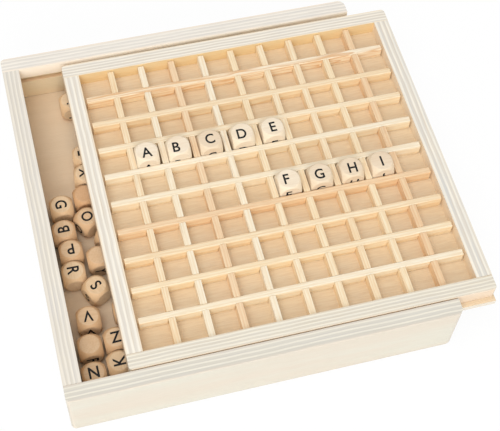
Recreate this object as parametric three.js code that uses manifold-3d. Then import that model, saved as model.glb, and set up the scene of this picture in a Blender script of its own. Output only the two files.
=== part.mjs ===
// Wooden letter game.
// An open plywood box holds loose letter cubes. Its lid is a shallow tray that slides in grooves
// near the top of the long walls. The tray carries a grid of half-lapped strips, and each cell of
// the grid takes one cube. The tray stands drawn out part of the way, so the cubes below show.
// Millimetres, +Z up. +X is the way the tray is drawn out, and -Y is the player's side.
// The origin is the centre of the footprint, box and drawn-out tray together, at table height.

import * as THREE from 'three';
import Module from 'manifold-3d';
import { mergeVertices } from 'three/addons/utils/BufferGeometryUtils.js';

const wasm = await Module();
wasm.setup();

// Letter cubes
const cubeSize = 14.8;
const cubeBall = 9.5;
const cubeStationShares = [-1, -0.7, -0.28, 0.28, 0.7, 1];

// Grid of strips
const cellCount = 10;
const cubeRoom = 1.7;
const endRoomLong = 4.2;
const endRoomDeep = 3.2;
const stripThick = 4;
const stripHigh = 8.3;
const lapSideClear = 0.15;
const lapDepthClear = 0.1;
const longStripLeftGap = 1.4;
const longStripRightGap = 1.2;
const crossStripGap = 0.5;

// Sliding tray
const boardThick = 10;
const boardHigh = 10;
const trayCorner = 2.5;
const baseThick = 4;
const trayDrawn = 27.2;

// Box
const wallThick = 10.8;
const wallCornerLeft = 3;
const wallCornerRight = 5;
const panelRise = 6;
const panelThick = 4;
const storeHeadroom = 2.2;
const trayFrontGap = 0.6;
const trayBackGap = 3.3;
const closingGap = 0.5;
const trayEndInset = 2;
const tongueBite = 2.6;
const tongueTipClear = 0.4;
const tongueHeadroom = 0.5;
const panelSeatDepth = 3;
const panelHeadroom = 0.3;
const panelEdgeClear = 0.2;
const lowWallClear = 0.5;

// One overrun serves every cut that has to pass a face, and one count serves every round corner
const cutOverrun = 1;
const cornerSteps = 6;

// Sizes that follow from the ones above
const stripCount = cellCount - 1;
const cellPitch = cubeSize + cubeRoom + stripThick;
const gridSpan = (stripCount - 1) * cellPitch;
const trayInnerLong = gridSpan + stripThick + 2 * (cubeSize + endRoomLong);
const trayInnerDeep = gridSpan + stripThick + 2 * (cubeSize + endRoomDeep);
const trayLong = trayInnerLong + 2 * boardThick;
const trayDeep = trayInnerDeep + 2 * boardThick;
const storeDeep = trayDeep + trayFrontGap + trayBackGap;
const boxLong = wallThick + closingGap + trayLong + trayEndInset;
const floorTop = panelRise + panelThick;
const baseBottom = floorTop + cubeSize + storeHeadroom;
const baseTop = baseBottom + baseThick;
const boxHigh = baseTop + boardHigh;
const openLong = wallThick + closingGap + trayDrawn + trayLong;
const boxLeft = -openLong / 2;
const boxRight = boxLeft + boxLong;
const storeLeft = boxLeft + wallThick;
const storeRight = boxRight - wallThick;
const trayCentreX = openLong / 2 - trayLong / 2;
const trayCentreY = (trayFrontGap - trayBackGap) / 2;

// Colours, taken as the wood looks in even light
const plywood = { color: 0xe9ddc6, roughness: 0.62, metalness: 0 };
const panelWood = { color: 0xd9b98c, roughness: 0.6, metalness: 0 };
const stripWood = { color: 0xf0d7a8, roughness: 0.58, metalness: 0 };
const cubeWood = { color: 0xe3c08d, roughness: 0.5, metalness: 0 };

function namedMesh(name, geometry, finish) {
  const mesh = new THREE.Mesh(geometry, new THREE.MeshStandardMaterial(finish));
  mesh.name = name;
  return mesh;
}

// A geometry as a solid that can be cut, and a cut solid as a geometry again
function toSolid(geometry) {
  const bare = geometry.clone();
  bare.deleteAttribute('normal');
  bare.deleteAttribute('uv');
  const merged = mergeVertices(bare);
  const vertProperties = new Float32Array(merged.attributes.position.array);
  const triVerts = new Uint32Array(merged.index.array);
  return new wasm.Manifold(new wasm.Mesh({ numProp: 3, vertProperties, triVerts }));
}

function toGeometry(solid) {
  const mesh = solid.getMesh();
  const geometry = new THREE.BufferGeometry();
  geometry.setAttribute('position', new THREE.BufferAttribute(mesh.vertProperties, 3));
  geometry.setIndex(new THREE.BufferAttribute(mesh.triVerts, 1));
  geometry.computeVertexNormals();
  return geometry;
}

// A box given by its low and high corners
function boxBetween(low, high) {
  const size = new THREE.Vector3().subVectors(high, low);
  const centre = new THREE.Vector3().addVectors(low, high).multiplyScalar(0.5);
  return new THREE.BoxGeometry(size.x, size.y, size.z).translate(centre.x, centre.y, centre.z);
}

// A board standing on edge, seen in plan. Its inner side is flat along y = 0, and the two
// corners of its outer side, at y = -thick, are rounded.
function boardPlan(long, thick, leftRadius, rightRadius) {
  const half = long / 2;
  const plan = new THREE.Shape();
  plan.moveTo(half, 0);
  plan.lineTo(-half, 0);
  plan.lineTo(-half, leftRadius - thick);
  plan.absarc(leftRadius - half, leftRadius - thick, leftRadius, Math.PI, 1.5 * Math.PI, false);
  plan.lineTo(half - rightRadius, -thick);
  plan.absarc(half - rightRadius, rightRadius - thick, rightRadius, 1.5 * Math.PI, 2 * Math.PI, false);
  plan.closePath();
  return plan;
}

function standingBoard(plan, high) {
  return new THREE.ExtrudeGeometry(plan, { depth: high, bevelEnabled: false, curveSegments: cornerSteps });
}

// Box

// A long wall, made as the front one, with its inner side along y = 0. The tray's tongue runs in
// the upper groove, which is open at the right end. The bottom panel sits in the lower one.
function longWallGeometry() {
  const board = standingBoard(boardPlan(boxLong, wallThick, wallCornerLeft, wallCornerRight), boxHigh);
  const left = -boxLong / 2;
  const right = boxLong / 2;
  const tongueGroove = boxBetween(
    new THREE.Vector3(left + wallThick, -tongueBite - tongueTipClear, baseBottom),
    new THREE.Vector3(right + cutOverrun, cutOverrun, baseTop + tongueHeadroom),
  );
  const panelGroove = boxBetween(
    new THREE.Vector3(left + wallThick - panelSeatDepth, -panelSeatDepth, panelRise),
    new THREE.Vector3(right - wallThick + panelSeatDepth, cutOverrun, floorTop + panelHeadroom),
  );
  return toGeometry(toSolid(board).subtract(toSolid(tongueGroove)).subtract(toSolid(panelGroove)));
}

// An end wall stands between the long walls. Its inner side is along x = 0 and it grows to -x.
function endWallGeometry(high) {
  const wall = boxBetween(
    new THREE.Vector3(-wallThick, -storeDeep / 2, 0),
    new THREE.Vector3(0, storeDeep / 2, high),
  );
  const panelGroove = boxBetween(
    new THREE.Vector3(-panelSeatDepth, -storeDeep / 2 - cutOverrun, panelRise),
    new THREE.Vector3(cutOverrun, storeDeep / 2 + cutOverrun, floorTop + panelHeadroom),
  );
  return toGeometry(toSolid(wall).subtract(toSolid(panelGroove)));
}

function bottomPanelGeometry() {
  const reach = panelSeatDepth - panelEdgeClear;
  return boxBetween(
    new THREE.Vector3(storeLeft - reach, -storeDeep / 2 - reach, panelRise),
    new THREE.Vector3(storeRight + reach, storeDeep / 2 + reach, floorTop),
  );
}

function makeBox() {
  const box = new THREE.Group();
  const boxCentre = (boxLeft + boxRight) / 2;

  const frontWall = namedMesh('front_wall', longWallGeometry(), plywood);
  frontWall.position.set(boxCentre, -storeDeep / 2, 0);

  const backGeometry = longWallGeometry().scale(1, -1, 1);
  backGeometry.setIndex([...backGeometry.index.array].reverse());
  const backWall = namedMesh('back_wall', backGeometry, plywood);
  backWall.position.set(boxCentre, storeDeep / 2, 0);

  const leftWall = namedMesh('left_wall', endWallGeometry(boxHigh), plywood);
  leftWall.position.x = storeLeft;

  // The right wall stops below the tray, which slides out over it
  const rightWall = namedMesh('right_wall', endWallGeometry(baseBottom - lowWallClear), plywood);
  rightWall.rotation.z = Math.PI;
  rightWall.position.x = storeRight;

  box.add(frontWall, backWall, leftWall, rightWall);
  box.add(namedMesh('bottom_panel', bottomPanelGeometry(), panelWood));
  return box;
}

// Tray

// A strip on edge, in the XZ plane, with one slot at each crossing. A long strip's slots open
// downwards and a cross strip's open upwards, so that the two halves lap.
function stripOutline(start, end, slotsOpenDown) {
  const slotHalf = stripThick / 2 + lapSideClear;
  const slotDeep = stripHigh / 2 + lapDepthClear;
  const plainEdge = slotsOpenDown ? stripHigh : 0;
  const slotEdge = slotsOpenDown ? 0 : stripHigh;
  const slotEnd = slotsOpenDown ? slotDeep : stripHigh - slotDeep;
  const outline = new THREE.Shape();
  outline.moveTo(start, plainEdge);
  outline.lineTo(start, slotEdge);
  for (let crossing = 0; crossing < stripCount; crossing += 1) {
    const middle = crossing * cellPitch - gridSpan / 2;
    outline.lineTo(middle - slotHalf, slotEdge);
    outline.lineTo(middle - slotHalf, slotEnd);
    outline.lineTo(middle + slotHalf, slotEnd);
    outline.lineTo(middle + slotHalf, slotEdge);
  }
  outline.lineTo(end, slotEdge);
  outline.lineTo(end, plainEdge);
  outline.closePath();
  return outline;
}

function stripGeometry(start, end, slotsOpenDown) {
  const outline = stripOutline(start, end, slotsOpenDown);
  const strip = new THREE.ExtrudeGeometry(outline, { depth: stripThick, bevelEnabled: false });
  return strip.translate(0, 0, -stripThick / 2).rotateX(Math.PI / 2);
}

function makeGrid() {
  const grid = new THREE.Group();
  const longStart = longStripLeftGap - trayInnerLong / 2;
  const longEnd = trayInnerLong / 2 - longStripRightGap;
  const crossEnd = trayInnerDeep / 2 - crossStripGap;
  for (let index = 0; index < stripCount; index += 1) {
    const place = index * cellPitch - gridSpan / 2;
    const longGeometry = stripGeometry(longStart, longEnd, true);
    const longStrip = namedMesh(`long_strip_${index + 1}`, longGeometry, stripWood);
    longStrip.position.y = -place;
    const crossGeometry = stripGeometry(-crossEnd, crossEnd, false).rotateZ(Math.PI / 2);
    const crossStrip = namedMesh(`cross_strip_${index + 1}`, crossGeometry, stripWood);
    crossStrip.position.x = place;
    grid.add(longStrip, crossStrip);
  }
  grid.position.z = baseTop;
  return grid;
}

// The base is wider than the frame on it. What stands out at front and back are the two tongues,
// which cross the gap beside the frame and go on into the groove.
function trayBaseGeometry() {
  return boxBetween(
    new THREE.Vector3(-trayLong / 2, -trayDeep / 2 - trayFrontGap - tongueBite, baseBottom),
    new THREE.Vector3(trayLong / 2, trayDeep / 2 + trayBackGap + tongueBite, baseTop),
  );
}

function makeFrame() {
  const frame = new THREE.Group();
  const longPlan = boardPlan(trayLong, boardThick, trayCorner, trayCorner);
  const boardGeometry = () => standingBoard(longPlan, boardHigh);
  const front = namedMesh('tray_front_board', boardGeometry(), plywood);
  front.position.y = -trayInnerDeep / 2;
  const back = namedMesh('tray_back_board', boardGeometry(), plywood);
  back.position.y = trayInnerDeep / 2;
  back.rotation.z = Math.PI;

  const sideGeometry = () => boxBetween(
    new THREE.Vector3(-boardThick / 2, -trayInnerDeep / 2, 0),
    new THREE.Vector3(boardThick / 2, trayInnerDeep / 2, boardHigh),
  );
  const left = namedMesh('tray_left_board', sideGeometry(), plywood);
  left.position.x = -(trayInnerLong + boardThick) / 2;
  const right = namedMesh('tray_right_board', sideGeometry(), plywood);
  right.position.x = (trayInnerLong + boardThick) / 2;

  frame.add(front, back, left, right);
  frame.position.z = baseTop;
  return frame;
}

// Cubes

// Each face is flat only inside a circle, because the edges and corners are turned down to a
// ball that is a little smaller than the cube's corners.
function cubeGeometry() {
  const segments = cubeStationShares.length - 1;
  const cube = new THREE.BoxGeometry(cubeSize, cubeSize, cubeSize, segments, segments, segments);
  const stationIndex = (value) => Math.round((value / cubeSize + 0.5) * segments);
  const station = (value) => cubeStationShares[stationIndex(value)] * cubeSize / 2;
  const points = cube.attributes.position;
  const point = new THREE.Vector3();
  for (let index = 0; index < points.count; index += 1) {
    point.fromBufferAttribute(points, index);
    point.set(station(point.x), station(point.y), station(point.z));
    point.clampLength(0, cubeBall);
    points.setXYZ(index, point.x, point.y, point.z);
  }
  cube.computeVertexNormals();
  return cube;
}

function makeCube(name, x, y, floor, turnDegrees) {
  const cube = namedMesh(name, cubeGeometry(), cubeWood);
  cube.position.set(x, y, floor + cubeSize / 2);
  cube.rotation.z = THREE.MathUtils.degToRad(turnDegrees);
  return cube;
}

// The cells in use, counted from one at the back left corner of the grid, and how each cube lies
// in its cell: aside and back as shares of the room there, and turned by some degrees.
const trayCubePlaces = [
  { column: 2, row: 4, asideShare: -0.38, backShare: -0.38, turn: -1 },
  { column: 3, row: 4, asideShare: -0.38, backShare: -0.38, turn: 0.8 },
  { column: 4, row: 4, asideShare: -0.27, backShare: -0.38, turn: 0 },
  { column: 5, row: 4, asideShare: 0.3, backShare: -0.18, turn: 1 },
  { column: 6, row: 4, asideShare: 0.1, backShare: -0.2, turn: -0.5 },
  { column: 6, row: 6, asideShare: -0.2, backShare: -0.1, turn: 0.6 },
  { column: 7, row: 6, asideShare: -0.1, backShare: -0.22, turn: -0.8 },
  { column: 8, row: 6, asideShare: -0.16, backShare: -0.25, turn: 0.4 },
  { column: 9, row: 6, asideShare: -0.3, backShare: -0.25, turn: 0 },
];

function makeTrayCubes() {
  const cubes = new THREE.Group();
  trayCubePlaces.forEach((place, index) => {
    const column = place.column - 1 - stripCount / 2 + place.asideShare * cubeRoom / cellPitch;
    const row = stripCount / 2 + 1 - place.row + place.backShare * cubeRoom / cellPitch;
    const name = `tray_cube_${index + 1}`;
    cubes.add(makeCube(name, column * cellPitch, row * cellPitch, baseTop, place.turn));
  });
  return cubes;
}

function makeTray() {
  const tray = new THREE.Group();
  tray.add(namedMesh('tray_base', trayBaseGeometry(), panelWood));
  tray.add(makeFrame(), makeGrid(), makeTrayCubes());
  tray.position.set(trayCentreX, trayCentreY, 0);
  return tray;
}

// Loose cubes in the open end of the box. Each place is a share of a cube's size: across from
// the left wall, and up from the front wall. The last cube lies by the back wall instead.
const looseCubeShares = [
  { across: 2.042, up: 11.114, turn: -3 },
  { across: 1.918, up: 10.075, turn: -6 },
  { across: 1.697, up: 9.023, turn: 0 },
  { across: 0.625, up: 8.717, turn: 1 },
  { across: 1.604, up: 7.879, turn: 28 },
  { across: 0.517, up: 7.482, turn: 0 },
  { across: 0.636, up: 6.461, turn: 0 },
  { across: 2.3, up: 6.905, turn: -31 },
  { across: 0.565, up: 5.438, turn: -1 },
  { across: 1.709, up: 5.916, turn: 0 },
  { across: 1.349, up: 4.554, turn: 29 },
  { across: 0.775, up: 3.237, turn: -2 },
  { across: 2.301, up: 3.332, turn: 0 },
  { across: 0.599, up: 1.999, turn: 1 },
  { across: 1.681, up: 2.065, turn: 2 },
  { across: 1.612, up: 1.013, turn: 1 },
  { across: 0.54, up: 0.759, turn: 1 },
];
const backCubeShare = { across: 1.992, down: 1.311, turn: 0 };

function makeLooseCubes() {
  const cubes = new THREE.Group();
  looseCubeShares.forEach((place, index) => {
    const x = storeLeft + place.across * cubeSize;
    const y = place.up * cubeSize - storeDeep / 2;
    cubes.add(makeCube(`loose_cube_${index + 1}`, x, y, floorTop, place.turn));
  });
  const backX = storeLeft + backCubeShare.across * cubeSize;
  const backY = storeDeep / 2 - backCubeShare.down * cubeSize;
  const backName = `loose_cube_${looseCubeShares.length + 1}`;
  cubes.add(makeCube(backName, backX, backY, floorTop, backCubeShare.turn));
  return cubes;
}

const game = new THREE.Group();
game.add(makeBox(), makeTray(), makeLooseCubes());

export default game;
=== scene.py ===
"""A wooden letter game, dressed for its picture.

An open plywood box holds loose letter cubes. A tray with a lattice of half-lapped pine strips
slides over it in grooves, and some cells of the lattice hold a cube. Metres, with +X the way
the tray is drawn out and -Y the player's side.
"""

import logging
import math
from collections.abc import Iterable
from dataclasses import dataclass, field, replace
from enum import Enum

import bmesh
import bpy
from bpy.types import Material, Mesh, Node, Object
from mathutils import Color, Euler, Matrix, Vector


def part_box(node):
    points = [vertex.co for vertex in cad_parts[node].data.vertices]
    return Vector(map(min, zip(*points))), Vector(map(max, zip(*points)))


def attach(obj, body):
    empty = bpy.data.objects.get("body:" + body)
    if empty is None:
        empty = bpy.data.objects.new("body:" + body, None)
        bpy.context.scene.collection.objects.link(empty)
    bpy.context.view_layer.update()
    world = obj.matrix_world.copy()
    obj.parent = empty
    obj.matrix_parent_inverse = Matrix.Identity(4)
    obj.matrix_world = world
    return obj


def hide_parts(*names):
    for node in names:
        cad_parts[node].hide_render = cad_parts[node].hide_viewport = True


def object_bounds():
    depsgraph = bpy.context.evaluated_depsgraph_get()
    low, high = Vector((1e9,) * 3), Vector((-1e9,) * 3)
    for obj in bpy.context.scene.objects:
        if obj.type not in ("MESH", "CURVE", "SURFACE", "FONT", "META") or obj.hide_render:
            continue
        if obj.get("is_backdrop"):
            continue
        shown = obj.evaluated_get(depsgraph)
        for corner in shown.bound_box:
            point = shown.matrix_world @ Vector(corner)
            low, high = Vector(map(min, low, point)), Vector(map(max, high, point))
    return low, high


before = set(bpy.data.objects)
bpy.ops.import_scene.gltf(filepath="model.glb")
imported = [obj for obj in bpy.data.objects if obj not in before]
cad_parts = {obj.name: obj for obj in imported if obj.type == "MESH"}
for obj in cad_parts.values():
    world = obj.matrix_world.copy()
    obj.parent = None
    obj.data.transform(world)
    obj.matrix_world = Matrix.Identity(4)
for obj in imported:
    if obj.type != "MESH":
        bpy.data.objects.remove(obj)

LOG = logging.getLogger("letter_game")

MILLIMETRE = 0.001
IMAGE_WIDTH = 500.0
IMAGE_HEIGHT = 431.0
WHITE = (1.0, 1.0, 1.0, 1.0)
NOISE_MIDDLE = 0.5
BELT_FACES = 4

Triple = tuple[float, float, float]
Span = tuple[float, float]
Tint = tuple[int, int, int]
Wave = tuple[Triple, float, float]
Names = tuple[str, ...]
Socket = bpy.types.NodeSocket
Sockets = bpy.types.bpy_prop_collection
BMesh = bmesh.types.BMesh


# ------ small helpers


def tone(red: int, green: int, blue: int) -> tuple[float, float, float, float]:
    """Turn a colour as a screen shows it, 0 to 255, into the linear one that a shader takes."""
    linear = Color((red / 255, green / 255, blue / 255)).from_srgb_to_scene_linear()
    return (linear.r, linear.g, linear.b, 1.0)


def turned_by(degrees: Triple) -> Matrix:
    """Give the rotation by three angles about X, Y and Z."""
    return Euler([math.radians(angle) for angle in degrees]).to_matrix().to_4x4()


class Nodes:
    """Adds nodes and links to one node tree, so that a recipe reads as a list of steps."""

    def __init__(self, tree: bpy.types.NodeTree) -> None:
        """Work on a tree."""
        self.tree = tree

    def add(self, kind: str, **settings: object) -> Node:
        """Add a node of a kind, as Blender names it after ShaderNode, and set its properties."""
        node = self.tree.nodes.new(f"ShaderNode{kind}")
        for name, value in settings.items():
            setattr(node, name, value)
        return node

    def put(self, socket: Socket, value: object) -> None:
        """Set one input to a constant, or link it to the output that feeds it."""
        if isinstance(value, Socket):
            self.tree.links.new(value, socket)
        else:
            socket.default_value = value

    def feed(self, node: Node, **inputs: object) -> Node:
        """Fill a node's inputs by name, with _ for a space, and give the same node."""
        for name, value in inputs.items():
            self.put(node.inputs[name.replace("_", " ")], value)
        return node

    def fill(self, node: Node, values: Iterable[object]) -> Sockets:
        """Fill a node's inputs in order, and give its outputs."""
        for socket, value in zip(node.inputs, values):
            self.put(socket, value)
        return node.outputs

    def math(self, operation: str, *values: object) -> Socket:
        """Give the result of a Math node."""
        return self.fill(self.add("Math", operation=operation), values)["Value"]

    def invert(self, value: object) -> Socket:
        """Turn 0 into 1 and 1 into 0."""
        return self.math("SUBTRACT", 1.0, value)

    def vector(self, operation: str, *values: object, output: str = "Vector") -> Socket:
        """Give the result of a Vector Math node."""
        return self.fill(self.add("VectorMath", operation=operation), values)[output]

    def scaled(self, vector: object, factor: object) -> Socket:
        """Multiply a vector by a number."""
        node = self.add("VectorMath", operation="SCALE")
        self.put(node.inputs[0], vector)
        return self.feed(node, Scale=factor).outputs["Vector"]

    def axes(self, vector: object) -> Sockets:
        """Split a vector into outputs named X, Y and Z."""
        return self.feed(self.add("SeparateXYZ"), Vector=vector).outputs

    def ramp(self, value: object, low: float, high: float) -> Socket:
        """Map a value to 0 at low and 1 at high, smoothly and clamped."""
        node = self.add("MapRange", interpolation_type="SMOOTHSTEP")
        return self.feed(node, Value=value, From_Min=low, From_Max=high).outputs["Result"]

    def mix(self, factor: object, first: object, second: object, blend: str = "MIX") -> Socket:
        """Lay the second colour over the first, where factor is its share and blend the way."""
        node = self.add("Mix", data_type="RGBA", blend_type=blend)
        colours = [socket for socket in node.inputs if socket.type == "RGBA"]
        self.put(node.inputs["Factor"], factor)
        self.put(colours[0], first)
        self.put(colours[1], second)
        return next(socket for socket in node.outputs if socket.type == "RGBA")

    def stain(self, colour: object, tint: Tint, mask: object, share: float) -> Socket:
        """Cover a share of a colour with a tint where a mask is 1, and less where it is lower."""
        return self.mix(self.math("MULTIPLY", mask, share), colour, tone(*tint))

    def noise(self, place: Socket, wave: Wave, output: str = "Fac") -> Socket:
        """Give a noise, 0 to 1. A wave is its stretch, its cells per unit and its detail."""
        stretch, scale, detail = wave
        place = self.vector("MULTIPLY", place, stretch)
        node = self.add("TexNoise")
        return self.feed(node, Vector=place, Scale=scale, Detail=detail).outputs[output]

    def below(self, place: Socket, level: float, soft: float = 0.5) -> Socket:
        """Mask what lies below a level, in millimetres along the piece's own Z."""
        over = self.math("SUBTRACT", self.math("DIVIDE", self.axes(place)["Z"], MILLIMETRE), level)
        return self.invert(self.ramp(over, -soft, soft))


class Group:
    """A shader node group that is built once and used by several materials.

    Its input Coordinates is in metres. Other lengths are millimetres, and noises count cells
    per millimetre.
    """

    def __init__(self, name: str, vectors: Names, floats: Names, results: Names) -> None:
        """Make an empty group with vector inputs, number inputs and outputs of these names."""
        self.tree = bpy.data.node_groups.new(name, "ShaderNodeTree")
        inputs = ((vectors, "INPUT", "Vector"), (floats, "INPUT", "Float"))
        new_socket = self.tree.interface.new_socket
        for labels, side, kind in (*inputs, (results, "OUTPUT", "Float")):
            for label in labels:
                new_socket(label, in_out=side, socket_type=f"NodeSocket{kind}")
        self.nodes = Nodes(self.tree)
        self.given = self.tree.nodes.new("NodeGroupInput").outputs
        self.results = self.tree.nodes.new("NodeGroupOutput").inputs

    def give(self, label: str, value: Socket) -> None:
        """Send a value to one of the group's outputs."""
        self.nodes.put(self.results[label], value)

    def use(self, nodes: Nodes, **inputs: object) -> Sockets:
        """Place the group in a material, feed it and give its outputs."""
        return nodes.feed(nodes.add("Group", node_tree=self.tree), **inputs).outputs

    def place(self, seed_step: Triple) -> tuple[Socket, Socket]:
        """Give the input Coordinates in millimetres, at rest and moved by Seed times a step."""
        rest = self.nodes.scaled(self.given["Coordinates"], 1 / MILLIMETRE)
        step = self.nodes.scaled(seed_step, self.given["Seed"])
        return rest, self.nodes.vector("ADD", rest, step)


# ------ shared effects


@dataclass(frozen=True)
class WoodGrain:
    """Solid wood: growth rings round a heart line that runs along X, with fibres and drift."""

    seed_step: Triple = (71.3, 43.7, 29.9)
    sway: Wave = ((0.12, 1.0, 1.0), 0.11, 2.0)
    late_wood: float = 2.6
    ring_end: float = 0.14
    fibres: Wave = ((0.07, 1.0, 1.0), 1.25, 5.0)
    fibre_span: Span = (0.38, 0.66)
    drift: Wave = ((0.12, 1.0, 1.0), 0.06, 2.0)
    drift_span: Span = (0.32, 0.68)

    def build(self) -> Group:
        """Build the node group."""
        sizes = ("Ring Width", "Waviness", "Seed")
        results = ("Rings", "Fibres", "Drift")
        group = Group("Wood grain", ("Coordinates", "Heart"), sizes, results)
        nodes, given = group.nodes, group.given
        rest, seeded = group.place(self.seed_step)

        noise = nodes.noise(seeded, self.sway, "Color")
        swing = nodes.vector("SUBTRACT", noise, [NOISE_MIDDLE] * 3)
        sway = nodes.scaled(swing, given["Waviness"])
        aside = nodes.vector("SUBTRACT", nodes.vector("ADD", rest, sway), given["Heart"])
        across = nodes.vector("MULTIPLY", aside, (0.0, 1.0, 1.0))
        from_heart = nodes.vector("LENGTH", across, output="Value")
        phase = nodes.math("FRACT", nodes.math("DIVIDE", from_heart, given["Ring Width"]))
        late = nodes.math("POWER", phase, self.late_wood)
        fade = nodes.ramp(nodes.invert(phase), 0.0, self.ring_end)
        group.give("Rings", nodes.math("MULTIPLY", late, fade))

        group.give("Fibres", nodes.ramp(nodes.noise(seeded, self.fibres), *self.fibre_span))
        group.give("Drift", nodes.ramp(nodes.noise(seeded, self.drift), *self.drift_span))
        return group


@dataclass(frozen=True)
class PlyStack:
    """The edge of plywood: pale lines at a steady pitch, which wander, between duller plies."""

    seed_step: Triple = (19.1, 53.3, 11.7)
    sway: Wave = ((1.0, 0.6, 1.0), 0.022, 2.0)
    sway_size: float = 1.5
    ripple: Wave = ((0.5, 1.0, 1.0), 0.2, 2.0)
    ripple_size: float = 0.5
    width: Wave = ((0.3, 1.0, 1.0), 0.11, 2.0)
    least_width: float = 0.5
    line_span: Span = (0.25, 0.95)
    glue: Wave = ((0.25, 1.0, 1.0), 0.14, 2.0)
    glue_place: float = 0.22
    glue_span: Span = (0.05, 0.16)
    glue_gaps: Span = (0.35, 0.65)
    streaks: Wave = ((0.06, 1.0, 1.0), 1.1, 4.0)
    streak_span: Span = (0.36, 0.68)
    stain: Wave = ((0.14, 1.0, 1.0), 0.16, 3.0)
    stain_span: Span = (0.46, 0.72)

    def build(self) -> Group:
        """Build the node group."""
        sizes = ("Depth", "First Line", "Pitch", "Line Share", "Seed")
        results = ("Line", "Glue", "Tone", "Streaks", "Stain")
        group = Group("Ply stack", ("Coordinates",), sizes, results)
        nodes, given = group.nodes, group.given
        seeded = group.place(self.seed_step)[1]

        def swing(wave: Wave, size: float) -> Socket:
            """Give a noise that swings round 0."""
            noise = nodes.math("SUBTRACT", nodes.noise(seeded, wave), NOISE_MIDDLE)
            return nodes.math("MULTIPLY", noise, size)

        def from_half(place: Socket) -> Socket:
            """Find how far a place is from the middle of its unit step."""
            return nodes.math("ABSOLUTE", nodes.math("SUBTRACT", nodes.math("FRACT", place), 0.5))

        sway = swing(self.sway, self.sway_size)
        bend = nodes.math("ADD", sway, swing(self.ripple, self.ripple_size))
        depth = nodes.math("ADD", given["Depth"], bend)
        past = nodes.math("SUBTRACT", depth, given["First Line"])
        turns = nodes.math("DIVIDE", past, given["Pitch"])
        place = nodes.math("ADD", turns, 0.5)
        width = nodes.math("ADD", nodes.noise(seeded, self.width), self.least_width)
        reach = nodes.math("MULTIPLY", given["Line Share"], width)
        off_line = nodes.math("DIVIDE", from_half(place), reach)
        group.give("Line", nodes.invert(nodes.ramp(off_line, *self.line_span)))

        beside = from_half(nodes.math("ADD", turns, self.glue_place))
        thin = nodes.invert(nodes.ramp(beside, *self.glue_span))
        gaps = nodes.ramp(nodes.noise(seeded, self.glue), *self.glue_gaps)
        group.give("Glue", nodes.math("MULTIPLY", thin, gaps))

        random = nodes.add("TexWhiteNoise", noise_dimensions="2D")
        pair = nodes.add("CombineXYZ")
        nodes.feed(pair, X=nodes.math("FLOOR", nodes.math("MULTIPLY", place, 2.0)), Y=given["Seed"])
        nodes.feed(random, Vector=pair.outputs["Vector"])
        group.give("Tone", random.outputs["Value"])
        group.give("Streaks", nodes.ramp(nodes.noise(seeded, self.streaks), *self.streak_span))
        group.give("Stain", nodes.ramp(nodes.noise(seeded, self.stain), *self.stain_span))
        return group


@dataclass(frozen=True)
class SandedEdges:
    """A mask for edges that sandpaper has rounded over, on a piece with square faces."""

    straight_span: Span = (0.8, 0.995)

    def build(self) -> Group:
        """Build the node group. Its input is the surface's direction in the piece's own axes."""
        group = Group("Sanded edges", ("Direction",), (), ("Mask",))
        nodes = group.nodes
        parts = nodes.axes(nodes.vector("ABSOLUTE", group.given["Direction"]))
        straight = nodes.math("MAXIMUM", parts["X"], nodes.math("MAXIMUM", parts["Y"], parts["Z"]))
        group.give("Mask", nodes.invert(nodes.ramp(straight, *self.straight_span)))
        return group


class Effects:
    """The shared node groups, built once."""

    def __init__(self) -> None:
        """Build every group."""
        self.grain = WoodGrain().build()
        self.plies = PlyStack().build()
        self.sanded_and_shade = SandedEdges().build()


# ------ finishes

BUMP_STRENGTH = 0.6
NO_GROOVE_SHADE = -1000.0  # Lower than any board reaches.


def new_material(name: str, gloss: float) -> tuple[Material, Nodes, Node]:
    """Make a material with one Principled shader, and give it, its nodes and the shader."""
    material = bpy.data.materials.new(name)
    material.use_nodes = True
    material.node_tree.nodes.clear()
    nodes = Nodes(material.node_tree)
    shader = nodes.add("BsdfPrincipled")
    shader.inputs["Specular IOR Level"].default_value = gloss
    nodes.feed(nodes.add("OutputMaterial"), Surface=shader.outputs["BSDF"])
    return material, nodes, shader


def add_relief(nodes: Nodes, shader: Node, height: Socket, deep: float) -> None:
    """Roughen a surface.

    Args:
        nodes: The material's nodes.
        shader: The shader that takes the normal.
        height: The height, 0 to 1.
        deep: The depth of the relief, in metres.
    """
    bump = nodes.feed(nodes.add("Bump"), Strength=BUMP_STRENGTH, Distance=deep, Height=height)
    nodes.feed(shader, Normal=bump.outputs["Normal"])


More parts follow.
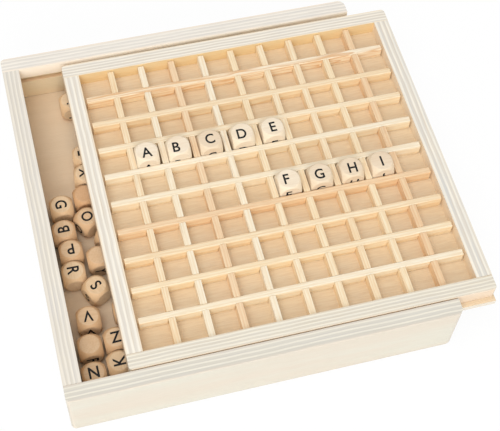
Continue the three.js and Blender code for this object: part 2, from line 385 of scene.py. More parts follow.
@dataclass(frozen=True)
class SolidWood:
    """Solid wood: strips, cubes and the veneer on a board's face.

    inside_shade, outside and top are painted shade: they tint the faces that look along the piece's
    own +Y, -Y and +Z darker, as if less light fell on them, warm on the inner faces.
    inside_shade_top is how high the inner tint goes, in millimetres above the piece's middle.
    sanded_and_shade tints the rounded parts with a sanding tone, and on the beech cubes with a
    darker brown that is painted shade on their rounded sides.
    """

    light: Tint
    dark: Tint
    warm: Tint
    sanded_and_shade: Tint | None = None
    sanded_and_shade_share: float = 0.6
    ring_width: float = 1.7
    ring_strength: float = 0.2
    fibre_strength: float = 0.25
    drift_strength: float = 0.6
    waviness: float = 3.0
    heart: Triple = (0.0, 9.0, -16.0)
    inside_shade: Tint | None = None
    outside: Tint | None = None
    top: Tint | None = None
    inside_shade_top: float = 1000.0
    facing_span: Span = (0.3, 0.8)
    roughness: float = 0.6
    fibre_roughness: float = 0.12
    gloss: float = 0.3
    relief: float = 0.00006

    def toned(self, light: Tint, dark: Tint, warm: Tint, sanded_and_shade: Tint) -> "SolidWood":
        """Give the same wood in other tones."""
        return replace(self, light=light, dark=dark, warm=warm, sanded_and_shade=sanded_and_shade)

    def material(self, name: str, effects: Effects, seed: float) -> Material:
        """Make the material.

        Args:
            name: Its name.
            effects: The shared node groups.
            seed: Moves the pattern, so that no two pieces are alike.

        Returns:
            The material.
        """
        material, nodes, shader = new_material(name, self.gloss)
        place = nodes.add("TexCoord").outputs
        grain = effects.grain.use(
            nodes, Coordinates=place["Object"], Heart=self.heart, Ring_Width=self.ring_width,
            Waviness=self.waviness, Seed=seed,
        )
        rings = nodes.math("MULTIPLY", grain["Rings"], self.ring_strength)
        colour = nodes.stain(tone(*self.light), self.warm, grain["Drift"], self.drift_strength)
        colour = nodes.mix(rings, colour, tone(*self.dark))
        colour = nodes.stain(colour, self.dark, grain["Fibres"], self.fibre_strength)
        # The rounded parts take a tint: a sanding tone, which on the beech cubes is a darker brown
        # that paints the shade on their rounded sides.
        if self.sanded_and_shade:
            mask = effects.sanded_and_shade.use(nodes, Direction=place["Normal"])["Mask"]
            colour = nodes.stain(colour, self.sanded_and_shade, mask, self.sanded_and_shade_share)
        facing = nodes.axes(place["Normal"])
        # Painted shade: faces that look along the piece's own +Y, -Y and +Z are multiplied by a
        # darker tint, as if less light reached them; the inner tint stops at a height.
        sides = ((self.inside_shade, "Y", 1.0), (self.outside, "Y", -1.0), (self.top, "Z", 1.0))
        for tint, axis, side in sides:
            if tint:
                mask = nodes.ramp(nodes.math("MULTIPLY", facing[axis], side), *self.facing_span)
                if tint is self.inside_shade:
                    low = nodes.below(place["Object"], self.inside_shade_top)
                    mask = nodes.math("MULTIPLY", mask, low)
                colour = nodes.mix(mask, colour, tone(*tint), "MULTIPLY")
        rough = nodes.math("MULTIPLY", grain["Fibres"], self.fibre_roughness)
        nodes.feed(shader, Base_Color=colour, Roughness=nodes.math("ADD", rough, self.roughness))
        height = nodes.math("ADD", nodes.math("MULTIPLY", grain["Fibres"], -1.0), rings)
        add_relief(nodes, shader, height, self.relief)
        return material


@dataclass(frozen=True)
class PlyEdge:
    """The edge of a plywood board, where its plies show.

    groove_shade_top is a height in millimetres above the board's middle. Below it, the ply faces
    that look up or down take groove_shade, a warm tan that paints the shade in the grooves and
    under the board.
    Shares say how much a tint covers, and spans where it fades.
    """

    line: Tint
    band: Tint
    face: Tint
    stain: Tint
    glue: Tint
    groove_shade: Tint = (222, 190, 152)
    groove_shade_top: float = -1.0
    pitch: float = 2.7
    first_line: float = 1.4
    line_share: float = 0.3
    contrast: float = 0.9
    stain_strength: float = 0.4
    streak_strength: float = 0.3
    face_deep: float = 2.2
    end_span: Span = (0.45, 0.75)
    end_swap: float = 0.7
    ply_share: float = 0.3
    glue_share: float = 0.55
    face_share: float = 0.8
    specks: Wave = ((1.0, 1.0, 1.0), 1500.0, 2.0)
    speck_span: Span = (0.45, 0.75)
    speck_share: float = 0.12
    roughness: float = 0.62
    line_smoothness: float = 0.08
    gloss: float = 0.25
    line_height: float = 0.8
    relief: float = 0.00008

    def material(self, name: str, effects: Effects, thick: float, seed: float) -> Material:
        """Make the material.

        Args:
            name: Its name.
            effects: The shared node groups.
            thick: The board's thickness, which lies along its own Y axis.
            seed: Moves the pattern.

        Returns:
            The material.
        """
        material, nodes, shader = new_material(name, self.gloss)
        place = nodes.add("TexCoord").outputs
        from_middle = nodes.math("DIVIDE", nodes.axes(place["Object"])["Y"], MILLIMETRE)
        half = thick / MILLIMETRE / 2
        plies = effects.plies.use(
            nodes, Coordinates=place["Object"], Depth=nodes.math("ADD", from_middle, half),
            First_Line=self.first_line, Pitch=self.pitch, Line_Share=self.line_share, Seed=seed,
        )
        facing = nodes.axes(nodes.vector("ABSOLUTE", place["Normal"]))
        at_end = nodes.math("MULTIPLY", nodes.ramp(facing["X"], *self.end_span), self.end_swap)
        line = nodes.math("ABSOLUTE", nodes.math("SUBTRACT", plies["Line"], at_end))

        band = nodes.stain(tone(*self.band), self.stain, plies["Stain"], self.stain_strength)
        band = nodes.stain(band, self.line, plies["Tone"], self.ply_share)
        colour = nodes.stain(band, self.line, line, self.contrast)
        colour = nodes.stain(colour, self.glue, plies["Glue"], self.glue_share)
        near_face = nodes.ramp(nodes.math("ABSOLUTE", from_middle), half - self.face_deep, half)
        colour = nodes.stain(colour, self.face, near_face, self.face_share)
        colour = nodes.stain(colour, self.stain, plies["Streaks"], self.streak_strength)
        specks = nodes.ramp(nodes.noise(place["Object"], self.specks), *self.speck_span)
        colour = nodes.stain(colour, self.stain, specks, self.speck_share)
        # Painted shade: below a height, the ply faces that look up or down turn warm tan, as if in
        # the shade of the grooves.
        low = nodes.below(place["Object"], self.groove_shade_top)
        groove_shade_mask = nodes.math("MULTIPLY", low, facing["Z"])
        colour = nodes.mix(groove_shade_mask, colour, tone(*self.groove_shade))

        smooth = nodes.math("MULTIPLY", line, self.line_smoothness)
        rough = nodes.math("SUBTRACT", self.roughness, smooth)
        nodes.feed(shader, Base_Color=colour, Roughness=rough)
        raised = nodes.math("MULTIPLY", line, self.line_height)
        add_relief(nodes, shader, nodes.math("SUBTRACT", raised, plies["Streaks"]), self.relief)
        return material


@dataclass(frozen=True)
class Ink:
    """Printed letters: a dark ink, slightly worn along the fibres."""

    colour: Tint = (14, 16, 19)
    worn: Tint = (38, 36, 34)
    worn_share: float = 0.35
    seed: float = 3.0
    roughness: float = 0.5
    worn_roughness: float = 0.2
    gloss: float = 0.2

    def material(self, name: str, effects: Effects) -> Material:
        """Make the material."""
        material, nodes, shader = new_material(name, self.gloss)
        place = nodes.add("TexCoord").outputs["Object"]
        fibres = effects.grain.use(nodes, Coordinates=place, Seed=self.seed)["Fibres"]
        colour = nodes.stain(tone(*self.colour), self.worn, fibres, self.worn_share)
        rough = nodes.math("MULTIPLY", fibres, self.worn_roughness)
        nodes.feed(shader, Base_Color=colour, Roughness=nodes.math("ADD", rough, self.roughness))
        return material


# ------ pieces of wood


class Stock(Enum):
    """How a piece lies. Turned by these angles, its own axes are length, thickness and width."""

    ALONG_X = (0.0, 0.0, 0.0)
    ALONG_Y = (0.0, 0.0, 90.0)
    FLIPPED_X = (0.0, 0.0, 180.0)
    FLIPPED_Y = (0.0, 0.0, -90.0)
    FLAT = (90.0, 0.0, 0.0)


# Upright boards have their own -Y, the outside, turned away from the middle.
SIDES = {
    "front": Stock.ALONG_X,
    "back": Stock.FLIPPED_X,
    "left": Stock.FLIPPED_Y,
    "right": Stock.ALONG_Y,
}


def put_in_scene(name: str, content: bpy.types.ID, place: Matrix) -> Object:
    """Make an object.

    Args:
        name: The object's name.
        content: Its mesh, curve, light or camera.
        place: Where it stands.

    Returns:
        The object.
    """
    piece = bpy.data.objects.new(name, content)
    bpy.context.scene.collection.objects.link(piece)
    piece.matrix_world = place
    return piece


def settle(piece: Object, node: str, body: str, slot: str) -> None:
    """Let a piece stand for a node of the frame.

    Args:
        piece: The finished piece.
        node: The node that it stands for.
        body: The body that it moves with.
        slot: A slot of the record, which is not used.
    """
    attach(piece, body)
    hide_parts(node)
    LOG.info("%s stands for %s and moves with %s", piece.name, node, body)


@dataclass
class Workpiece:
    """A piece of wood cut to a node's shape, with every outer edge sanded round.

    Angles are degrees. flat_within joins faces, sand_from picks the edges to sand, and
    crease_from keeps an edge sharp. face_within tells a broad face by its direction.
    """

    node: str
    stock: Stock
    ease: float
    segments: int = 2
    roundness: float = 0.6
    weld: float = 0.002 * MILLIMETRE
    flat_within: float = 1.0
    sand_from: float = 40.0
    crease_from: float = 20.0
    face_within: float = 0.9
    face_weight: int = 100

    def build(self, name: str, face: Material, edge: Material) -> Object:
        """Make the piece, with its own X, Y and Z along its length, thickness and width.

        Args:
            name: The piece's name.
            face: The material of the two broad faces.
            edge: The material of the rest.

        Returns:
            The piece.
        """
        low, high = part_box(self.node)
        place = Matrix.Translation((low + high) / 2) @ turned_by(self.stock.value)
        cut = bmesh.new()
        cut.from_mesh(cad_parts[self.node].data)
        bmesh.ops.remove_doubles(cut, verts=cut.verts, dist=self.weld)
        flat = math.radians(self.flat_within)
        bmesh.ops.dissolve_limit(cut, angle_limit=flat, verts=cut.verts, edges=cut.edges)
        cut.transform(place.inverted())
        self.sand(cut)
        for side in cut.faces:
            side.smooth = True
            side.material_index = 0 if abs(side.normal.y) > self.face_within else 1
        mesh = bpy.data.meshes.new(name)
        mesh.materials.append(face)
        mesh.materials.append(edge)
        cut.to_mesh(mesh)
        cut.free()
        mesh.set_sharp_from_angle(angle=math.radians(self.crease_from))
        piece = put_in_scene(name, mesh, place)
        weigh = piece.modifiers.new("even_faces", "WEIGHTED_NORMAL")
        weigh.keep_sharp = True
        weigh.weight = self.face_weight
        return piece

    def sand(self, cut: BMesh) -> None:
        """Round over the convex edges of a cut piece."""
        least = math.radians(self.sand_from)
        joined = [edge for edge in cut.edges if edge.is_manifold]
        bmesh.ops.bevel(
            cut,
            geom=[edge for edge in joined if edge.calc_face_angle_signed() > least],
            offset=self.ease, offset_type="OFFSET", segments=self.segments,
            profile=self.roundness, affect="EDGES", clamp_overlap=True,
        )


@dataclass
class Board:
    """A plywood board: veneer on its two faces and plies along its edges."""

    node: str
    body: str
    slot: str
    stock: Stock
    veneer: SolidWood
    edge: PlyEdge
    thick: float
    seed: float
    ease: float = 0.5 * MILLIMETRE

    def build(self, effects: Effects) -> None:
        """Cut the board and dress it."""
        face = self.veneer.material(f"{self.node} veneer", effects, self.seed)
        edge = self.edge.material(f"{self.node} plies", effects, self.thick, self.seed)
        piece = Workpiece(self.node, self.stock, self.ease).build(f"{self.node}_ply", face, edge)
        settle(piece, self.node, self.body, self.slot)


# ------ box

# Painted shade: the inner faces below the grooves take a warm, darker tint, and the outer faces a
# cool grey one.
BOX_VENEER = SolidWood(
    light=(240, 232, 213), dark=(228, 210, 186), warm=(241, 225, 204), ring_width=5.0,
    ring_strength=0.14, fibre_strength=0.14, drift_strength=0.9, waviness=9.0,
    heart=(0.0, 30.0, 6.0), inside_shade=(246, 236, 216), inside_shade_top=11.0, outside=(227, 231, 235),
)
# Painted shade: the ply faces that look up or down, up to 15 mm above the middle, in the grooves
# and below them, turn warm tan.
BOX_PLIES = PlyEdge(
    line=(238, 231, 219), band=(210, 202, 190), face=(238, 223, 204), stain=(204, 201, 198),
    glue=(198, 191, 184), groove_shade_top=15.0,
)
WALL_EDGES = {
    "front": replace(
        BOX_PLIES, line=(231, 225, 209), band=(202, 196, 183), face=(220, 206, 188),
        stain=(203, 200, 193), pitch=2.9, first_line=3.3,
    ),
    "back": replace(
        BOX_PLIES, band=(218, 211, 200), first_line=2.2, line_share=0.42, stain_strength=0.25
    ),
    "left": replace(
        BOX_PLIES, line=(233, 225, 210), band=(207, 199, 185), face=(226, 218, 204),
        line_share=0.34, stain_strength=0.6,
    ),
    "right": replace(BOX_PLIES, groove_shade_top=NO_GROOVE_SHADE),
}
PANEL_EDGE = replace(BOX_PLIES, groove_shade_top=NO_GROOVE_SHADE, pitch=1.4, first_line=0.8, face_deep=0.5)
PANEL_VENEER = SolidWood(
    light=(225, 203, 174), dark=(206, 178, 144), warm=(217, 193, 162), ring_width=9.0,
    ring_strength=0.06, fibre_strength=0.12, waviness=14.0, heart=(0.0, 40.0, 20.0),
)


@dataclass
class Box:
    """The box: two grooved long walls, a high and a low end wall, and a bottom panel."""

    body: str = "box"
    wall_thick: float = 10.8 * MILLIMETRE
    panel_thick: float = 4.0 * MILLIMETRE
    wall_seed: int = 1
    panel_seed: int = 7

    def boards(self) -> Iterable[Board]:
        """Give the four walls and the bottom panel."""
        for seed, (side, stock) in enumerate(SIDES.items(), start=self.wall_seed):
            finish = (BOX_VENEER, WALL_EDGES[side], self.wall_thick, seed)
            yield Board(f"{side}_wall", self.body, "box_plywood", stock, *finish)
        finish = (PANEL_VENEER, PANEL_EDGE, self.panel_thick, self.panel_seed)
        yield Board("bottom_panel", self.body, "panel_plywood", Stock.FLAT, *finish)

    def build(self, effects: Effects) -> None:
        """Build every board."""
        for board in self.boards():
            board.build(effects)


# ------ tray

# Painted shade: the frame's inner faces take a warm, darker tint and its outer faces a cool one;
# the right board has no inner tint.
FRAME_VENEER = SolidWood(
    light=(243, 225, 194), dark=(228, 196, 150), warm=(240, 216, 178), ring_width=3.4,
    ring_strength=0.25, fibre_strength=0.2, drift_strength=0.5, waviness=5.0,
    heart=(0.0, 24.0, 4.0), inside_shade=(249, 239, 214), outside=(240, 238, 247), roughness=0.58,
)
FRAME_VENEERS = {
    **dict.fromkeys(SIDES, FRAME_VENEER),
    "right": replace(
        FRAME_VENEER, light=(245, 230, 206), dark=(230, 204, 168), warm=(242, 222, 194), inside_shade=None
    ),
}
FRAME_PLIES = PlyEdge(
    line=(241, 234, 219), band=(213, 203, 188), face=(240, 222, 192), stain=(208, 205, 200),
    glue=(208, 192, 170), pitch=2.3, line_share=0.36, face_deep=1.4,
)
FRAME_EDGES = {
    "front": replace(
        FRAME_PLIES, line=(234, 227, 209), band=(208, 199, 182), face=(224, 208, 182),
        first_line=1.7,
    ),
    "back": replace(FRAME_PLIES, first_line=1.0),
    "left": replace(FRAME_PLIES, pitch=3.4),
    "right": replace(
        FRAME_PLIES, face=(238, 230, 214), stain=(193, 196, 197), pitch=3.4, first_line=2.0,
        line_share=0.34, stain_strength=0.7,
    ),
}
BASE_EDGE = replace(
    FRAME_PLIES, groove_shade_top=NO_GROOVE_SHADE, pitch=1.4, first_line=0.7, line_share=0.3, face_deep=0.5
)
BASE_VENEER = SolidWood(
    light=(224, 204, 174), dark=(204, 172, 134), warm=(218, 194, 158), ring_width=5.0,
    ring_strength=0.16, fibre_strength=0.3, drift_strength=0.5, waviness=10.0,
    heart=(0.0, 34.0, 14.0),
)
# Painted shade: the strips' tops and the faces turned to their own -Y are darkened a little by a
# tint.
PINE = SolidWood(
    light=(253, 243, 222), dark=(238, 206, 160), warm=(250, 234, 204), sanded_and_shade=(252, 244, 228),
    ring_strength=0.6, fibre_strength=0.3, heart=(0.0, 22.0, -10.0), roughness=0.55,
    top=(239, 239, 238), outside=(249, 247, 241),
)
PINES = {
    "cream": PINE,
    "straw": PINE.toned((253, 239, 212), (236, 194, 138), (249, 228, 190), (252, 242, 220)),
    "honey": PINE.toned((251, 234, 203), (232, 186, 130), (247, 221, 180), (249, 234, 210)),
    "rose": PINE.toned((247, 222, 186), (227, 174, 126), (241, 208, 166), (244, 226, 202)),
    "flamed": replace(
        PINE.toned((255, 243, 219), (222, 162, 98), (249, 221, 178), (252, 241, 219)),
        waviness=20.0, ring_strength=1.0, ring_width=3.0, fibre_strength=0.25,
    ),
}


@dataclass
class Tray:
    """The sliding tray: a base with two tongues, a frame of four boards, and the lattice."""

    body: str = "tray"
    board_thick: float = 10.0 * MILLIMETRE
    base_thick: float = 4.0 * MILLIMETRE
    board_ease: float = 0.4 * MILLIMETRE
    strip_ease: float = 0.45 * MILLIMETRE
    board_seed: int = 11
    base_seed: int = 17
    strip_seed: int = 21
    long_pines: str = "flamed honey straw cream cream rose honey straw cream"
    cross_pines: str = "honey cream rose cream straw straw honey straw rose"

    def boards(self) -> Iterable[Board]:
        """Give the four boards of the frame and the base."""
        for seed, (side, stock) in enumerate(SIDES.items(), start=self.board_seed):
            finish = (FRAME_VENEERS[side], FRAME_EDGES[side], self.board_thick, seed)
            node = f"tray_{side}_board"
            yield Board(node, self.body, "frame_plywood", stock, *finish, self.board_ease)
        finish = (BASE_VENEER, BASE_EDGE, self.base_thick, self.base_seed)
        yield Board("tray_base", self.body, "panel_plywood", Stock.FLAT, *finish)

    def strips(self) -> Iterable[tuple[str, Stock, str]]:
        """Give every strip of the lattice with the way it lies and its pine."""
        for index, pine in enumerate(self.long_pines.split(), start=1):
            yield f"long_strip_{index}", Stock.ALONG_X, pine
        for index, pine in enumerate(self.cross_pines.split(), start=1):
            yield f"cross_strip_{index}", Stock.ALONG_Y, pine

    def build(self, effects: Effects) -> None:
        """Build the base, the frame and the lattice."""
        for board in self.boards():
            board.build(effects)
        for seed, (node, stock, pine) in enumerate(self.strips(), start=self.strip_seed):
            wood = PINES[pine].material(f"{node} pine", effects, seed)
            piece = Workpiece(node, stock, self.strip_ease).build(f"{node}_pine", wood, wood)
            settle(piece, node, self.body, "strip_pine")


# ------ letter cubes

# On the beech, ruddy and golden cubes the rounded parts take a darker brown: a sanding tone, and
# painted shade on their rounded sides and in the gaps between cubes.
BEECH = SolidWood(
    light=(215, 186, 151), dark=(186, 148, 108), warm=(207, 173, 135), sanded_and_shade=(211, 171, 127),
    roughness=0.45,
)
CUBE_WOODS = {
    "pale": BEECH.toned((235, 221, 199), (214, 189, 156), (231, 212, 186), (237, 221, 193)),
    "fawn": BEECH.toned((228, 210, 185), (205, 177, 143), (222, 200, 172), (229, 210, 180)),
    "beech": BEECH,
    "ruddy": BEECH.toned((208, 170, 131), (180, 136, 94), (200, 158, 117), (206, 161, 115)),
    "golden": BEECH.toned((223, 197, 163), (195, 160, 119), (215, 185, 147), (220, 183, 139)),
}


class Lay(Enum):
    """How a cube lies, as turns about X, Y and Z. On its side it shows a bare top."""

    UPRIGHT = (0.0, 0.0, 0.0)
    TO_LEFT = (0.0, 0.0, 90.0)
    TO_RIGHT = (0.0, 0.0, -90.0)
    UPSIDE_DOWN = (0.0, 0.0, 180.0)
    ON_SIDE = (0.0, 90.0, 0.0)


@dataclass
class Letterpress:
    """Makes flat letter meshes, once for each letter.

    high is a capital's height and thick the ink's. bold widens the strokes, as a share of the
    type's size, and narrow is how much of its width a letter keeps.
    """

    high: float = 7.4 * MILLIMETRE
    thick: float = 0.02 * MILLIMETRE
    bold: float = 0.019
    narrow: float = 0.9
    curve_steps: int = 6
    cast: dict[str, Mesh] = field(default_factory=dict, init=False)

    def letter(self, character: str) -> Mesh:
        """Give a letter that lies on z = 0, round the origin. It is kept for the next use."""
        if character not in self.cast:
            self.cast[character] = self.set_type(character)
        return self.cast[character]

    def set_type(self, character: str) -> Mesh:
        """Set one letter in Blender's own typeface, and give it as a mesh."""
        curve = bpy.data.curves.new(f"type_{character}", "FONT")
        curve.body = character
        curve.extrude = 0.5  # Any will do, since the ink's thickness is set below.
        curve.offset = self.bold
        curve.resolution_u = self.curve_steps
        carrier = put_in_scene(f"type_{character}", curve, Matrix())
        shown = carrier.evaluated_get(bpy.context.evaluated_depsgraph_get())
        letter = bpy.data.meshes.new_from_object(shown)
        bpy.data.objects.remove(carrier)
        low = Vector(min(vertex.co[axis] for vertex in letter.vertices) for axis in range(3))
        high = Vector(max(vertex.co[axis] for vertex in letter.vertices) for axis in range(3))
        scale = self.high / (high.y - low.y)
        shrink = Matrix.Diagonal((scale * self.narrow, scale, self.thick / (high.z - low.z), 1.0))
        lift = Matrix.Translation((0.0, 0.0, self.thick / 2))
        letter.transform(lift @ shrink @ Matrix.Translation(-(low + high) / 2))
        return letter


@dataclass(frozen=True)
class Print:
    """Where a cube's letters sit on their faces, in millimetres and degrees."""

    across: float = 0.0
    up: float = 0.0
    askew: float = 0.0
    front_drop: float = 0.0

    def place(self, step: int) -> Matrix:
        """Give a letter's place on one face of the belt.

        Args:
            step: Which face, where 0 is the top of an upright cube and 1 its front.

        Returns:
            The shift and turn in the face.
        """
        up = self.up - (self.front_drop if step == 1 else 0.0)
        shift = Matrix.Translation((self.across * MILLIMETRE, up * MILLIMETRE, 0.0))
        return shift @ Matrix.Rotation(math.radians(self.askew), 4, "Z")


@dataclass
class LetterCube:
    """One cube: flat round faces on a ball, with a letter on the four faces of a belt."""

    node: str
    letter: str
    lay: Lay
    wood: str
    seed: float
    mark: Print = Print()
    upright_within: float = 0.01

    def slot(self) -> str:
        """Name the record's slot for the cube's wood."""
        return "cube_pale" if self.wood in ("pale", "fawn") else "cube_beech"

    def place(self) -> Matrix:
        """Find where the cube stands: in its node's middle, turned as the node is about Z.

        Returns:
            The place. The turn is that of the widest upright face, an eighth at most either way.
        """
        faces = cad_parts[self.node].data.polygons
        upright = [face for face in faces if abs(face.normal.z) < self.upright_within]
        facing = max(upright, key=lambda face: face.area).normal
        angle = math.atan2(facing.y, facing.x)
        quarter = math.pi / 2
        spin = Matrix.Rotation(angle - quarter * round(angle / quarter), 4, "Z")
        low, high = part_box(self.node)
        return Matrix.Translation((low + high) / 2) @ spin @ turned_by(self.lay.value)


@dataclass
class CubeMaker:
    """Makes cubes of one shape, cut by a ball, and prints them.

    Rings are shares of the flat face's rim. soft is how far its edge is blended into the ball.
    """

    effects: Effects
    press: Letterpress
    ink: Material
    size: float = 14.8 * MILLIMETRE
    ball: float = 9.5 * MILLIMETRE
    soft: float = 0.3 * MILLIMETRE
    weld: float = 0.005 * MILLIMETRE
    around: int = 32
    face_rings: tuple[float, ...] = (0.35, 0.7, 0.9, 0.95, 0.98, 1.0, 1.02, 1.06)
    corner_rings: int = 4
    mesh: Mesh | None = field(default=None, init=False)

    def flat_half(self) -> float:
        """Give half the distance between two flat faces, which leaves room for the ink."""
        return self.size / 2 - self.press.thick

    def reach(self, off_axis: float) -> float:
        """Find how far the surface is from the cube's middle.

        Args:
            off_axis: The angle from the nearest face's axis.

        Returns:
            The smaller of flat face and ball, blended where they meet.
        """
        flat = self.flat_half() / math.cos(off_axis)
        apart = max(self.soft - abs(flat - self.ball), 0.0) / self.soft
        return min(flat, self.ball) - apart * apart * self.soft / 4

    def rings(self, heading: float) -> list[float]:
        """List where rings cross one ray of a face, as the tangent of the angle off the axis.

        Args:
            heading: The ray's direction in the face.

        Returns:
            The places, out to where the next face begins.
        """
        rim = math.sqrt(self.ball**2 - self.flat_half() ** 2) / self.flat_half()
        edge = 1 / max(abs(math.cos(heading)), abs(math.sin(heading)))
        inner = [rim * share for share in self.face_rings]
        last = inner[-1]
        step = (edge - last) / self.corner_rings
        return inner + [last + step * ring for ring in range(1, self.corner_rings + 1)]

    def face(self, cube: BMesh, turn: Matrix) -> None:
        """Add one face of the cube.

        Args:
            cube: The mesh to add it to.
            turn: Turns the +Z face to where it belongs.
        """
        middle = cube.verts.new(turn @ Vector((0.0, 0.0, self.flat_half())))
        rays = []
        for index in range(self.around):
            heading = 2 * math.pi * index / self.around
            ray = []
            for ring in self.rings(heading):
                way = Vector((ring * math.cos(heading), ring * math.sin(heading), 1.0)).normalized()
                ray.append(cube.verts.new(turn @ (way * self.reach(math.atan(ring)))))
            rays.append(ray)
        for ray, following in zip(rays, rays[1:] + rays[:1]):
            cube.faces.new((middle, ray[0], following[0]))
            for near in range(len(ray) - 1):
                cube.faces.new((ray[near], ray[near + 1], following[near + 1], following[near]))

    def shape(self) -> Mesh:
        """Give the mesh of this maker's cubes, which is made at the first call."""
        if self.mesh is None:
            cube = bmesh.new()
            for turn in self.face_turns():
                self.face(cube, turn)
            bmesh.ops.remove_doubles(cube, verts=cube.verts, dist=self.weld)
            for face in cube.faces:
                face.smooth = True
            self.mesh = bpy.data.meshes.new("letter_cube")
            cube.to_mesh(self.mesh)
            cube.free()
        return self.mesh

    @staticmethod
    def face_turns() -> list[Matrix]:
        """Give the turns from the +Z face to all six: a belt of four about X, then the two ends."""
        belt = [Matrix.Rotation(math.radians(90 * step), 3, "X") for step in range(BELT_FACES)]
        return belt + [Matrix.Rotation(math.radians(side), 3, "Y") for side in (90, -90)]

    def print_belt(self, cube: LetterCube) -> Mesh:
        """Print the cube's letter on the four faces of the belt, as one mesh."""
        ink = bmesh.new()
        lift = Matrix.Translation((0.0, 0.0, self.flat_half()))
        for step, turn in enumerate(self.face_turns()[:BELT_FACES]):
            place = turn.to_4x4() @ lift @ cube.mark.place(step)
            before = len(ink.verts)
            ink.from_mesh(self.press.letter(cube.letter))
            ink.verts.ensure_lookup_table()
            bmesh.ops.transform(ink, matrix=place, verts=ink.verts[before:])
        mesh = bpy.data.meshes.new(f"ink_{cube.node}")
        ink.to_mesh(mesh)
        ink.free()
        return mesh

    def build(self, cube: LetterCube) -> None:
        """Build one cube and its print."""
        place = cube.place()
        body = put_in_scene(f"{cube.node}_wood", self.shape().copy(), place)
        wood = CUBE_WOODS[cube.wood].material(f"{cube.node} wood", self.effects, cube.seed)
        body.data.materials.append(wood)
        settle(body, cube.node, cube.node, cube.slot())
        letters = put_in_scene(f"{cube.node}_letters", self.print_belt(cube), place)
        letters.data.materials.append(self.ink)
        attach(letters, cube.node)
        cube.slot()


@dataclass
class CubeSet:
    """All letter cubes: those in the tray in the order of the alphabet, and the loose ones.

    The tray's cubes are less worn, so the ball that cuts them is larger.
    """

    crisp_ball: float = 10.0 * MILLIMETRE
    tray_seed: int = 50
    loose_seed: int = 70
    tray_letters: str = "ABCDEFGHI"
    tray_woods: str = "pale pale fawn pale pale pale fawn fawn fawn"
    tray_prints: tuple[Print, ...] = (
        Print(-0.2, -1.0, 2.0), Print(-1.6, -1.3, -3.0, 1.0), Print(0.0, 0.0, 4.0, 1.4),
        Print(-0.7, -1.0, -2.0, 1.6), Print(0.2, -0.3, 2.0, 1.8), Print(-1.5, 0.0, -1.0),
        Print(-0.9, -0.8, 3.0), Print(0.6, -0.9, -2.0), Print(0.0, -0.4, 1.0),
    )
    ruddy: tuple[int, ...] = (3,)
    golden: tuple[int, ...] = (1, 2, 4, 9, 11, 16, 18)
    loose_letters: str = "EXJGOBPJRYSVTFZKNT"
    loose_lays: tuple[Lay, ...] = (
        Lay.TO_LEFT, Lay.TO_LEFT, Lay.ON_SIDE, Lay.TO_RIGHT, Lay.TO_RIGHT, Lay.TO_LEFT,
        Lay.UPSIDE_DOWN, Lay.ON_SIDE, Lay.TO_RIGHT, Lay.ON_SIDE, Lay.TO_RIGHT, Lay.UPSIDE_DOWN,
        Lay.ON_SIDE, Lay.ON_SIDE, Lay.UPRIGHT, Lay.TO_LEFT, Lay.UPRIGHT, Lay.UPSIDE_DOWN,
    )

    def cubes(self) -> Iterable[LetterCube]:
        """Give the tray's cubes, then the loose ones."""
        tray = zip(self.tray_letters, self.tray_woods.split(), self.tray_prints)
        for index, (letter, wood, mark) in enumerate(tray, start=1):
            node, seed = f"tray_cube_{index}", self.tray_seed + index
            yield LetterCube(node, letter, Lay.UPRIGHT, wood, seed, mark)
        woods = {**dict.fromkeys(self.ruddy, "ruddy"), **dict.fromkeys(self.golden, "golden")}
        for index, (letter, lay) in enumerate(zip(self.loose_letters, self.loose_lays), start=1):
            node, seed = f"loose_cube_{index}", self.loose_seed + index
            yield LetterCube(node, letter, lay, woods.get(index, "beech"), seed)

    def build(self, effects: Effects) -> None:
        """Build every cube."""
        tumbled = CubeMaker(effects, Letterpress(), Ink().material("printing ink", effects))
        crisp = replace(tumbled, ball=self.crisp_ball)
        for cube in self.cubes():
            (crisp if cube.slot() == "cube_pale" else tumbled).build(cube)


# ------ studio


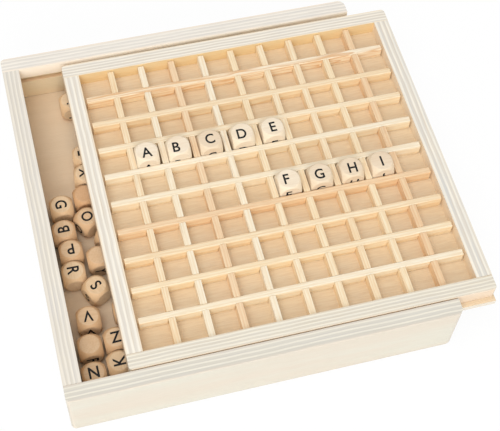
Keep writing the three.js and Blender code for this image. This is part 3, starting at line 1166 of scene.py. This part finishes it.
@dataclass
class Studio:
    """The floor, the light and the camera. Lengths are metres, angles radians."""

    aim: Triple = (0.2 * MILLIMETRE, -23.52 * MILLIMETRE, 40.0 * MILLIMETRE)
    distance: float = 732.7 * MILLIMETRE
    turn: float = -0.324
    down: float = 1.028
    roll: float = 0.080
    sensor: float = 36.0
    focal_pixels: float = 1176.5
    centre_column: float = 248.55
    centre_row: float = 207.93
    nearest: float = 0.01
    floor_half: float = 3.0
    floor_cells: int = 8
    floor_drop: float = 0.2 * MILLIMETRE
    floor_shade: float = 0.9
    floor_roughness: float = 0.9
    floor_gloss: float = 0.5
    floor_glow: float = 0.93
    key_spot: Triple = (-0.8, -0.5, 2.9)
    key_size: float = 2.2
    key_power: float = 41.0
    fill_spot: Triple = (-0.6, -2.9, 1.5)
    fill_size: float = 2.0
    fill_power: float = 50.0
    sky_strength: float = 0.6

    def place_camera(self) -> None:
        """Set the camera as the photograph was taken: from the front left, looking well down."""
        camera = bpy.data.cameras.new("camera")
        camera.sensor_width = self.sensor
        camera.lens = self.sensor * self.focal_pixels / IMAGE_WIDTH
        camera.shift_x = (IMAGE_WIDTH / 2 - self.centre_column) / IMAGE_WIDTH
        camera.shift_y = (self.centre_row - IMAGE_HEIGHT / 2) / IMAGE_WIDTH
        camera.clip_start = self.nearest
        turning = (
            Matrix.Rotation(self.turn, 4, "Z")
            @ Matrix.Rotation(math.pi / 2 - self.down, 4, "X")
            @ Matrix.Rotation(self.roll, 4, "Z")
        )
        spot = Vector(self.aim) + turning.to_3x3() @ Vector((0.0, 0.0, self.distance))
        place = Matrix.Translation(spot) @ turning
        bpy.context.scene.camera = put_in_scene("camera", camera, place)

    def lay_floor(self) -> None:
        """Lay a pale floor that keeps the object's soft shadow."""
        plane = bmesh.new()
        cells = self.floor_cells
        bmesh.ops.create_grid(plane, x_segments=cells, y_segments=cells, size=self.floor_half)
        mesh = bpy.data.meshes.new("floor")
        plane.to_mesh(mesh)
        plane.free()
        floor = put_in_scene("floor", mesh, Matrix.Translation((0.0, 0.0, -self.floor_drop)))
        material, nodes, shader = new_material("pale floor", self.floor_gloss)
        shader.inputs["Base Color"].default_value = (*[self.floor_shade] * 3, 1.0)
        shader.inputs["Roughness"].default_value = self.floor_roughness
        seen = nodes.add("LightPath").outputs["Is Camera Ray"]
        glow = nodes.add("Emission").outputs["Emission"]
        blend = nodes.add("MixShader")
        share = nodes.math("MULTIPLY", seen, self.floor_glow)
        nodes.fill(blend, (share, shader.outputs["BSDF"], glow))
        output = next(node for node in nodes.tree.nodes if node.type == "OUTPUT_MATERIAL")
        nodes.feed(output, Surface=blend.outputs["Shader"])
        floor.data.materials.append(material)
        floor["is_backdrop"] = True

    def hang_lamp(self, name: str, spot: Triple, size: float, power: float) -> None:
        """Hang a square soft lamp that points at the object.

        Args:
            name: The lamp's name.
            spot: Where it hangs.
            size: Its side.
            power: Its power in watts.
        """
        light = bpy.data.lights.new(name, "AREA")
        light.shape = "SQUARE"
        light.size = size
        light.energy = power
        facing = (Vector(self.aim) - Vector(spot)).to_track_quat("-Z", "Y").to_matrix().to_4x4()
        put_in_scene(name, light, Matrix.Translation(spot) @ facing)

    def light_world(self) -> None:
        """Fill the scene with even light, and show the world as white."""
        world = bpy.data.worlds.new("studio")
        bpy.context.scene.world = world
        world.use_nodes = True
        world.node_tree.nodes.clear()
        nodes = Nodes(world.node_tree)
        path = nodes.add("LightPath").outputs
        seen = nodes.math("MAXIMUM", path["Is Camera Ray"], path["Is Glossy Ray"])
        extra = nodes.math("MULTIPLY", seen, 1 - self.sky_strength)
        strength = nodes.math("ADD", extra, self.sky_strength)
        background = nodes.feed(nodes.add("Background"), Color=WHITE, Strength=strength)
        nodes.feed(nodes.add("OutputWorld"), Surface=background.outputs["Background"])

    def build(self) -> None:
        """Set up the floor, the lamps, the world and the camera."""
        self.place_camera()
        self.lay_floor()
        self.hang_lamp("key", self.key_spot, self.key_size, self.key_power)
        self.hang_lamp("fill", self.fill_spot, self.fill_size, self.fill_power)
        self.light_world()
        bpy.context.scene.view_settings.view_transform = "Standard"


def main() -> None:
    """Build the object and its studio in order."""
    logging.basicConfig(level=logging.INFO, format="%(name)s: %(message)s")
    cad_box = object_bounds()
    effects = Effects()
    Box().build(effects)
    Tray().build(effects)
    CubeSet().build(effects)
    Studio().build()
    visual_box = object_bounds()
    [[list(corner) for corner in box] for box in (cad_box, visual_box)]
    LOG.info("CAD box %s, visual box %s", cad_box, visual_box)


if __name__ == "__main__":
    main()
